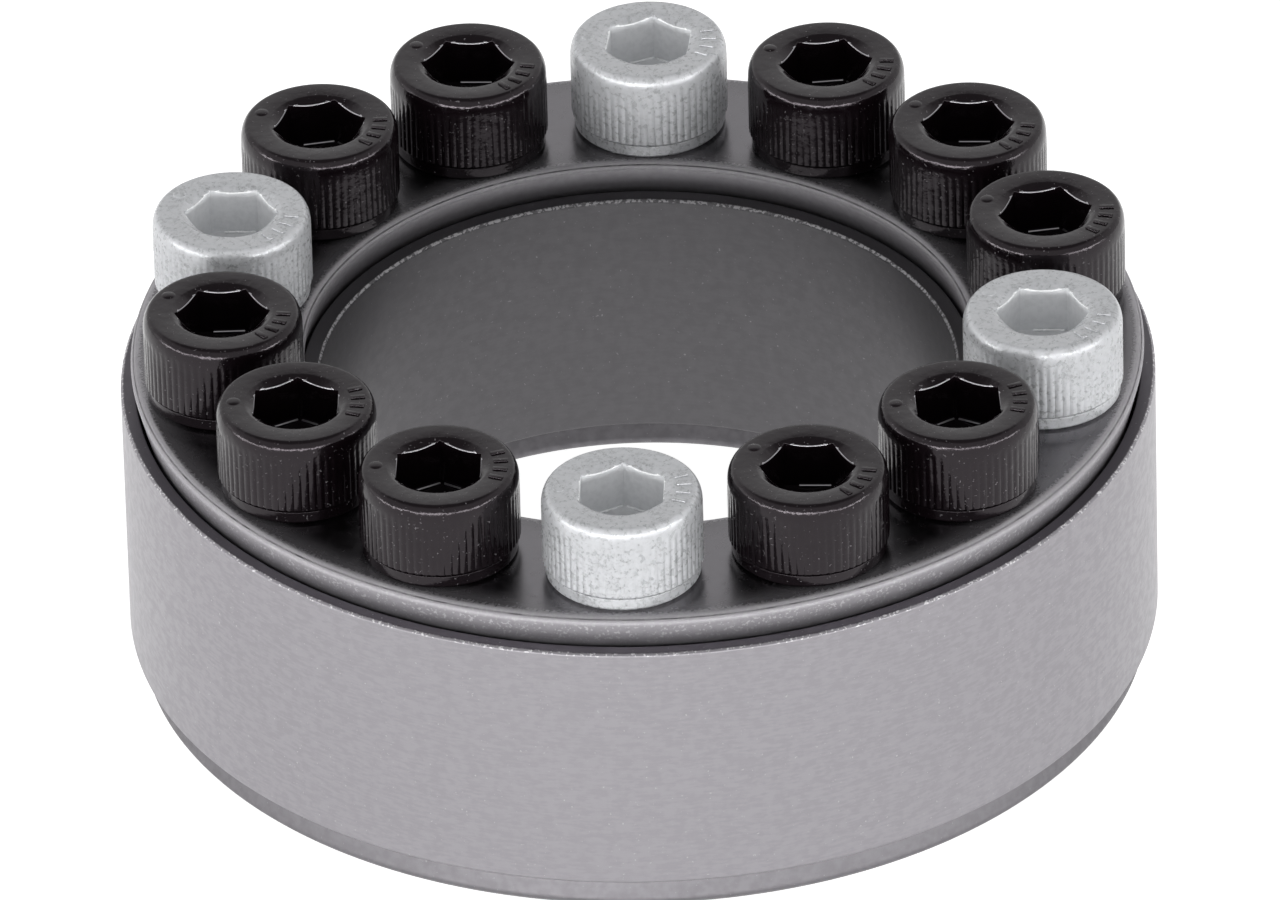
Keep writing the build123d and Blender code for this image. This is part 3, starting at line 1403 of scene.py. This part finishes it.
    def rubbed_and_highlit(self, place: Vector) -> bool:
        """Says whether a face's centre is on the part of the mouth's edges that is worn bare on the
        oxidised screws and a painted highlight on the plated ones.
        """
        in_middle = self.on_mouth_edge(place, self.rubbed_and_highlit_reach * self.corner_bevel)
        return in_middle and place.xy.length < self.rubbed_and_highlit_share * self.socket_corner

    def marks(self) -> list[bpy.types.Object]:
        """Raises plain marks on the flat top: a row of ticks, and a pip across from it.

        Returns:
            The marks.
        """
        marks = []
        for tick in range(self.ticks):
            turn = math.radians(self.tick_angle * (tick - (self.ticks - 1) / 2))
            x, y = self.mark_radius * math.cos(turn), self.mark_radius * math.sin(turn)
            clear_selection()
            bpy.ops.mesh.primitive_cube_add(
                size=1,
                location=(x, y, self.top),
                rotation=(0, 0, turn),
                scale=(self.tick_length, self.tick_width, 2 * self.mark_height),
            )
            mark = settled()
            with editing(mark):
                bpy.ops.mesh.select_all(action="SELECT")
                bpy.ops.mesh.bevel(offset=self.mark_height / 2, segments=2)
            marks.append(mark)
        clear_selection()
        bpy.ops.mesh.primitive_uv_sphere_add(
            segments=24,
            ring_count=12,
            radius=self.pip_radius,
            location=(-self.mark_radius, 0, self.top),
            scale=(1, 1, self.mark_height / self.pip_radius),
        )
        marks.append(settled())
        return marks

    def chips(self) -> list[bpy.types.Object]:
        """Leaves the chips of the broach at the foot of the socket's flats.

        Returns:
            The chips, one bar along each flat, each slipped and leaning a little differently.
        """
        out = self.socket_flats / 2 - self.chip_radius
        height = self.top - self.socket_depth + 0.5 * self.chip_radius
        slip_phase, lean_phase = 2.4, 3.1  # radians from one flat to the next
        chips = []
        for flat in range(6):
            turn = math.radians(60 * flat)
            along = self.chip_slip * self.socket_corner * math.sin(slip_phase * flat)
            x = out * math.cos(turn) - along * math.sin(turn)
            y = out * math.sin(turn) + along * math.cos(turn)
            clear_selection()
            bpy.ops.mesh.primitive_cylinder_add(
                vertices=10,
                radius=self.chip_radius,
                depth=self.chip_length * self.socket_corner,
                location=(x, y, height),
                rotation=(math.pi / 2, self.chip_lean * math.cos(lean_phase * flat), turn),
            )
            chips.append(settled())
        return chips

    def shank(self) -> bpy.types.Object:
        """Turns the shank under a head.

        Returns:
            The shank, round the Z axis, hanging from height 0.
        """
        tip, thread = -self.section.screw_length, self.section.thread
        return turned("shank", [
            Corner(0, tip),
            Corner(thread - self.tip_chamfer, tip),
            Corner(thread, tip + self.tip_chamfer),
            Corner(thread, 0),
            Corner(0, 0),
        ], HOLE_COLUMNS, closed=False)

    def master(self) -> bpy.types.Object:
        """Builds the screw that the others are copies of.

        Returns:
            The screw, its head standing on height 0, a socket corner at the back.
        """
        head = joined([self.head(), self.shank()])
        solid_faces = len(head.data.polygons)
        screw = joined([head, *self.chips()])
        for face in screw.data.polygons:
            inside = face.center.xy.length < self.socket_flats / 2 + TOUCH
            # These faces are bare metal on the oxidised screws and a painted highlight on the plated
            # ones; the plated screws' socket faces are painted lighter.
            if self.rubbed_and_highlit(face.center) or face.index >= solid_faces:
                face.material_index = CHIP_AND_HIGHLIGHT_FACES
            elif inside and 0 < face.center.z < self.top - TOUCH:
                face.material_index = SOCKET_FACES
        smooth(screw)
        return screw

    def build(self) -> list[tuple[str, Plating, bpy.types.Object]]:
        """Builds the row of screws.

        Returns:
            For each screw, the node it stands for, its plating and the screw.
        """
        master = self.master()
        made = dict.fromkeys(Plating, 0)
        row = []
        for step, turn in enumerate(self.socket_turns):
            plating = Plating.ZINC if step in PLATED_STEPS else Plating.OXIDE
            made[plating] += 1
            node = f"{plating.value}_{made[plating]:02d}"
            low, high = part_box(node)
            place = Vector(((low.x + high.x) / 2, (low.y + high.y) / 2, self.section.front_face))
            screw = copied(master, f"{node}_knurled", place, -math.radians(turn))
            row.append((node, plating, screw))
        bpy.data.objects.remove(master)
        return row


@dataclass(frozen=True)
class Studio:
    """A pale floor, soft light and the camera.

    Attributes:
        target: The point that the camera and the lamps face.
        distance: Distance of the camera from that point.
        elevation: Degrees that the camera looks down.
        azimuth: Degrees that the camera stands round from the front, towards the right.
        roll: Degrees that the camera leans about its own axis.
        lens: Focal length, in millimetres.
        near_clip: Distance from which on the camera sees.
        floor_size: Side of the floor.
        floor_gap: How far it lies under the rear face, which it would flicker through.
        floor_grey: The floor's own grey.
        floor_roughness: The floor's roughness.
        floor_lift: Light that the floor adds where it is looked at.
        room_light: Light of the room.
        ceiling_light: Light of its ceiling.
        ceiling_span: Heights between which the room turns into the ceiling. Straight up is 1.
        band_light: Light of the low band in front, which draws the lines on the shoulders.
        band_foot: Heights between which the band comes in.
        band_head: Heights between which it goes out.
        band_sides: How far back it goes out, from -1 in front to 1 behind.
    """

    target: tuple[float, float, float] = (0.0, 0.0, 0.0132)
    distance: float = 1.2899
    elevation: float = 32.83
    azimuth: float = 2.62
    roll: float = -1.52
    lens: float = 576.2
    near_clip: float = 0.05
    floor_size: float = 6.0
    floor_gap: float = 0.05 * MM
    floor_grey: float = 0.52
    floor_roughness: float = 0.9
    floor_lift: float = 0.94
    room_light: float = 0.85
    ceiling_light: float = 0.25
    ceiling_span: tuple[float, float] = (0.64, 0.90)
    band_light: float = 11.5
    band_foot: tuple[float, float] = (0.04, 0.06)
    band_head: tuple[float, float] = (0.11, 0.14)
    band_sides: tuple[float, float] = (-0.25, 0.15)

    def camera(self) -> None:
        """Places the camera."""
        tilt, turn = math.radians(self.elevation), math.radians(self.azimuth)
        direction = Vector((
            math.cos(tilt) * math.sin(turn),
            -math.cos(tilt) * math.cos(turn),
            math.sin(tilt),
        ))
        data = bpy.data.cameras.new("camera")
        data.lens = self.lens
        data.clip_start = self.near_clip
        camera = bpy.data.objects.new("camera", data)
        bpy.context.scene.collection.objects.link(camera)
        camera.location = Vector(self.target) + direction * self.distance
        lean = Quaternion((0, 0, 1), math.radians(self.roll))
        camera.rotation_mode = "QUATERNION"
        camera.rotation_quaternion = (-direction).to_track_quat("-Z", "Y") @ lean
        bpy.context.scene.camera = camera

    def floor(self) -> None:
        """Lays the floor, which keeps the object's shadow."""
        clear_selection()
        place = (0, 0, -self.floor_gap)
        bpy.ops.mesh.primitive_plane_add(size=self.floor_size, location=place)
        floor = bpy.context.active_object
        floor.name = "floor"
        finish = Finish("floor")
        path = finish.add("ShaderNodeLightPath").outputs
        seen = finish.math("MAXIMUM", path["Is Camera Ray"], path["Is Glossy Ray"])
        seen = finish.math("MAXIMUM", seen, path["Is Transmission Ray"])
        floor.data.materials.append(finish.dress({
            "Base Color": grey(self.floor_grey),
            "Roughness": self.floor_roughness,
            "Specular IOR Level": 0.0,
            "Emission Color": grey(1.0),
            "Emission Strength": finish.math("MULTIPLY", seen, self.floor_lift),
        }))

    def world(self) -> None:
        """Surrounds the object with a pale room, a darker ceiling and a low bright band."""
        world = bpy.data.worlds.new("room")
        world.use_nodes = True
        bpy.context.scene.world = world
        graph = Graph(world.node_tree)
        direction = graph.add("ShaderNodeTexCoord").outputs["Generated"]
        _, depth, height = graph.add("ShaderNodeSeparateXYZ", {0: direction}).outputs
        room = graph.between(height, self.ceiling_span, self.room_light, self.ceiling_light)
        over = graph.between(height, self.band_foot, 0.0, 1.0)
        under = graph.between(height, self.band_head, 1.0, 0.0)
        front = graph.between(depth, self.band_sides, self.band_light, 0.0)
        band = graph.math("MULTIPLY", graph.math("MULTIPLY", over, under), front)
        light = graph.math("ADD", room, band)
        graph.feed(graph.tree.nodes["Background"], {"Color": grey(1.0), "Strength": light})

    def lamp(
        self,
        name: str,
        place: tuple[float, float, float],
        size: tuple[float, float],
        power: float,
    ) -> None:
        """Hangs a soft rectangular lamp that faces the object.

        Args:
            name: The lamp's name.
            place: Where it hangs.
            size: Its width and height.
            power: Its power, in watts.
        """
        data = bpy.data.lights.new(name, "AREA")
        data.shape = "RECTANGLE"
        data.size, data.size_y = size
        data.energy = power
        lamp = bpy.data.objects.new(name, data)
        bpy.context.scene.collection.objects.link(lamp)
        lamp.location = place
        aim = Vector(self.target) - Vector(place)
        lamp.rotation_mode = "QUATERNION"
        lamp.rotation_quaternion = aim.to_track_quat("-Z", "Y")
        lamp.visible_camera = False

    def build(self) -> None:
        """Sets up the whole studio."""
        self.camera()
        self.floor()
        self.world()
        self.lamp("front_softbox", place=(-0.3, -1.1, 0.10), size=(0.9, 0.10), power=1.2)
        self.lamp("left_softbox", place=(-1.0, 0.1, 0.25), size=(0.5, 0.3), power=0.25)
        bpy.context.scene.view_settings.view_transform = "Standard"


def ring_finishes(
    section: Section, slit_chamfer: float, thrust_chamfer: float
) -> tuple[RingSteel, RingSteel, RingSteel, RingSteel]:
    """Sets out the steels of the rings, each worn along the middle of its chamfers.

    Args:
        section: The set's section.
        slit_chamfer: Chamfer on the slit rings' seats.
        thrust_chamfer: Chamfer on the thrust rings' outer faces.

    Returns:
        The steels of the outer ring, the inner ring, the front and the rear thrust ring.
    """
    ring_end = section.ring_length / 2
    slit_middle = slit_chamfer / 2
    ground = RingSteel(
        edges=((section.seat - slit_middle, ring_end - slit_middle),),
        middle=section.middle,
        face_height=ring_end,
    )
    # The bore steel is a darker copy of the ground steel: painted shade inside the bore.
    bore = replace(
        ground,
        edges=((section.bore + slit_middle, ring_end - slit_middle),),
        name="bore_steel_painted_shade",
        dark=grey(0.126, 0.05),
        light=grey(0.135, 0.05),
        face=grey(0.10, 0.05),
        worn=grey(0.40, 0.03),
        smooth=0.37,
        rough=0.40,
        line_share=0.60,
        chip_spread=0.54,
    )
    inner_rim, outer_rim = section.flank(thrust_chamfer)
    rim_middle = thrust_chamfer / 2
    face = (section.front_face - section.rear_face) / 2
    thrust = RingSteel(
        edges=(
            (outer_rim - rim_middle, face - rim_middle),
            (inner_rim + rim_middle, face - rim_middle),
        ),
        middle=section.middle,
        face_height=face,
        name="turned_steel",
        slot="turned_steel",
        dark=grey(0.31, 0.065),
        light=grey(0.35, 0.065),
        # The darker end face is painted shade.
        face=grey(0.185, 0.065),
        worn=grey(0.38, 0.03),
        smooth=0.36,
        rough=0.46,
        face_polish=0.40,
        clouds=1800.0,
        line_share=0.25,
        wander=60.0,
        relief=0.0015 * MM,
        wear_reach=0.50 * MM,
        nick_and_sheen_share=0.55,
        chip_spread=0.48,
        dullness=0.40,
    )
    # The rear ring is a darker copy of the front one: painted shade under the set.
    rear = replace(
        thrust,
        name="rear_steel_painted_shade",
        dark=grey(0.16, 0.065),
        light=grey(0.18, 0.065),
        nick_and_sheen_share=0.25,
    )
    return ground, bore, thrust, rear


def screw_finishes(effects: Effects) -> dict[Plating, list[bpy.types.Material]]:
    """Builds the finishes of the screws.

    Args:
        effects: The shared node groups.

    Returns:
        For each plating, those of the outside, of the socket, and of its worn edges and chips; on
        the plated screws the socket is painted lighter and the edges and chips are a painted
        highlight.
    """
    oxide, zinc = BlackOxide(), ZincPlate()
    clean_oxide = replace(oxide, name="oxide_socket", speck_share=0.0)
    # The socket's zinc is a lighter copy of the plating: painted light inside the socket.
    smooth_painted_light_zinc = replace(
        zinc,
        name="zinc_socket_painted_light",
        shade=(0.70, 0.71, 0.725, 1.0),
        light=(0.76, 0.77, 0.785, 1.0),
        speck_share=0.0,
        roughness=0.45,
        metallic=0.1,
        grain_depth=0.002 * MM,
    )
    # The mouth's edges and the chips of the plated screws are near white: a painted highlight.
    zinc_painted_highlight = replace(
        smooth_painted_light_zinc,
        name="zinc_edge_painted_highlight",
        shade=(0.90, 0.91, 0.92, 1.0),
        light=(0.95, 0.96, 0.97, 1.0),
        roughness=0.25,
    )
    return {
        Plating.OXIDE: [oxide.build(effects), clean_oxide.build(effects), BareChip().build()],
        Plating.ZINC: [finish.build(effects) for finish in (zinc, smooth_painted_light_zinc, zinc_painted_highlight)],
    }


def main() -> None:
    """Builds the studio and every piece, and logs each piece's face count."""
    logging.basicConfig(level=logging.INFO, format="%(name)s: %(message)s")
    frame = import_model()
    section = Section.from_frame(frame["record"])
    slit_rings, thrust_rings, screws = SlitRings(section), ThrustRings(section), CapScrews(section)
    Studio().build()
    effects = Effects.build()
    finishes = ring_finishes(section, slit_rings.chamfer, thrust_rings.chamfer)
    ground, bore, front, rear = (finish.build(effects) for finish in finishes)
    platings = screw_finishes(effects)
    fitted(slit_rings.outer(), "outer_ring", ground)
    fitted(slit_rings.inner(), "inner_ring", bore)
    for side, finish in ((Side.FRONT, front), (Side.REAR, rear)):
        fitted(thrust_rings.build(side), f"{side.name.lower()}_thrust_ring", finish)
    for node, plating, screw in screws.build():
        fitted(screw, node, *platings[plating])


if __name__ == "__main__":
    main()
